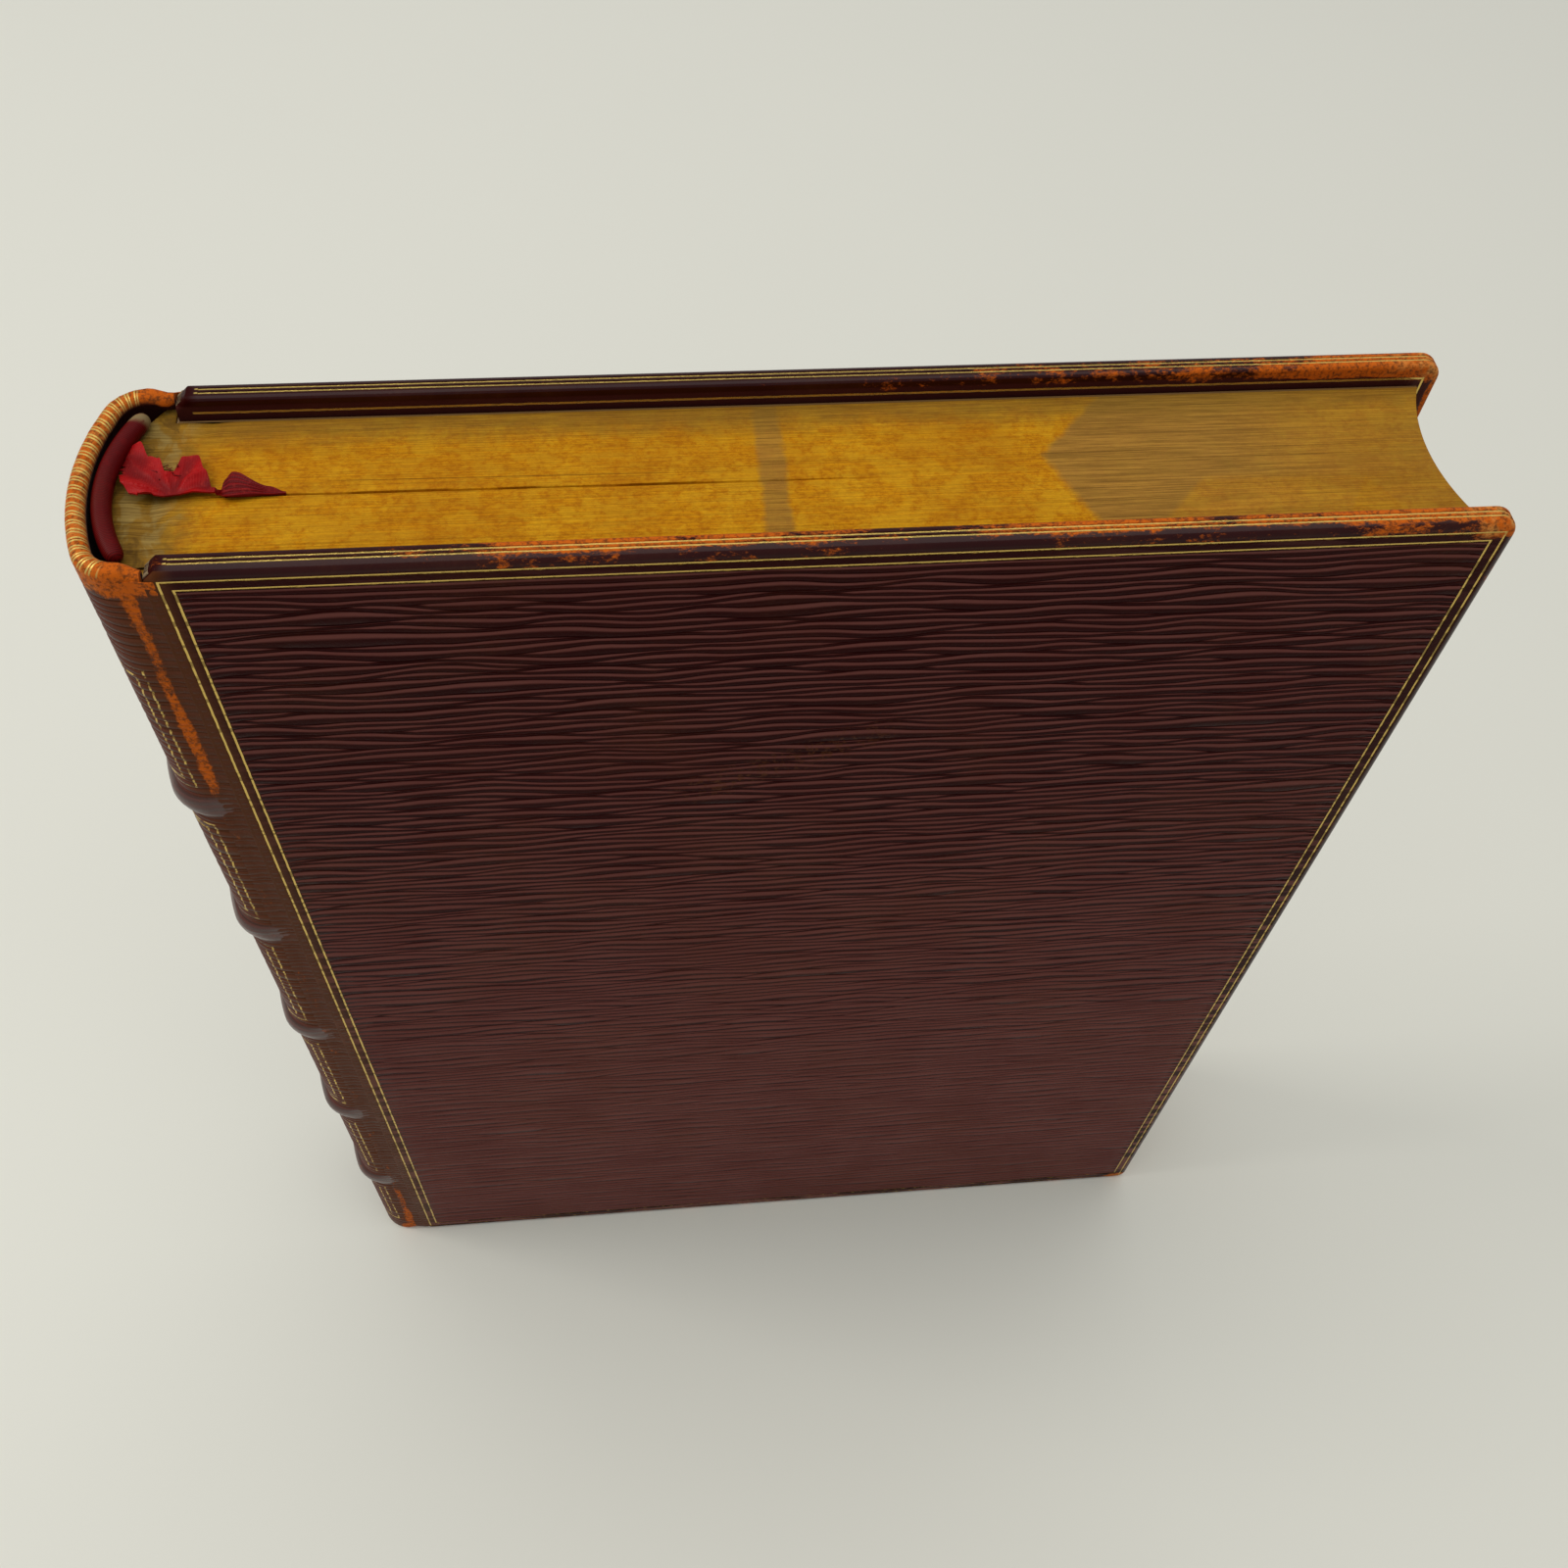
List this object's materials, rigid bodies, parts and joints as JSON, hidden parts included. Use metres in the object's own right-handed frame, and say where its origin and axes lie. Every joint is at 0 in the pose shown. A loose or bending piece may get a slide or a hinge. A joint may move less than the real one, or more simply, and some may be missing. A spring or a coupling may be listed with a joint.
{
  "type": "antique leather book",
  "caption": "Closed book on its head edge, in straight-grained leather, with raised bands on a rounded spine, gilt edges, silk headbands, a ribbon marker and covers that open.",
  "frame": {"origin": "middle of the whole book's lowest edges, where it stands on its head edge", "axes": "+X from the spine to the fore-edge, +Y from the rear cover to the front cover, +Z from the head edge up to the tail edge"},
  "size_m": [0.1714, 0.0316, 0.2135],
  "materials": {
    "gilt_leaves": "rag paper, all edges gilt, worn and stained",
    "endpaper": "plain laid endpaper, slightly toned",
    "hemp_cord": "twisted hemp cord",
    "brown_paper": "glued brown paper",
    "band_leather": "strips of undyed leather",
    "headband_silk": "dark red silk thread wound on a core",
    "red_silk": "thin red silk ribbon, frayed",
    "millboard": "grey-brown millboard",
    "maroon_morocco": "dark maroon straight-grained goatskin, gilt lines, rubbed to tan at the edges"
  },
  "bodies": {
    "book_block": {"text_block": "gilt_leaves", "rear_free_endleaf": "endpaper", "front_free_endleaf": "endpaper", "sewing_cord_1": "hemp_cord", "sewing_cord_2": "hemp_cord", "sewing_cord_3": "hemp_cord", "sewing_cord_4": "hemp_cord", "sewing_cord_5": "hemp_cord", "spine_lining": "brown_paper", "spine_tube": "brown_paper", "raised_band_1": "band_leather", "raised_band_2": "band_leather", "raised_band_3": "band_leather", "raised_band_4": "band_leather", "raised_band_5": "band_leather", "spine_leather": "maroon_morocco", "head_cap_cord": "hemp_cord", "tail_cap_cord": "hemp_cord", "head_band": "headband_silk", "tail_band": "headband_silk", "ribbon_marker": "red_silk"},
    "rear_cover": {"rear_board": "millboard", "rear_cover_leather": "maroon_morocco", "rear_pastedown": "endpaper", "rear_cord_slips": "hemp_cord"},
    "front_cover": {"front_board": "millboard", "front_cover_leather": "maroon_morocco", "front_pastedown": "endpaper", "front_cord_slips": "hemp_cord"}
  },
  "joints": [
    {"name": "rear_cover_hinge", "type": "hinge", "parent": "book_block", "child": "rear_cover", "pos_m": [-0.0743, -0.01575, 0.1], "axis": [0, 0, -1], "range_deg": [0, 180]},
    {"name": "front_cover_hinge", "type": "hinge", "parent": "book_block", "child": "front_cover", "pos_m": [-0.0743, 0.01575, 0.1], "axis": [0, 0, 1], "range_deg": [0, 180]}
  ]
}
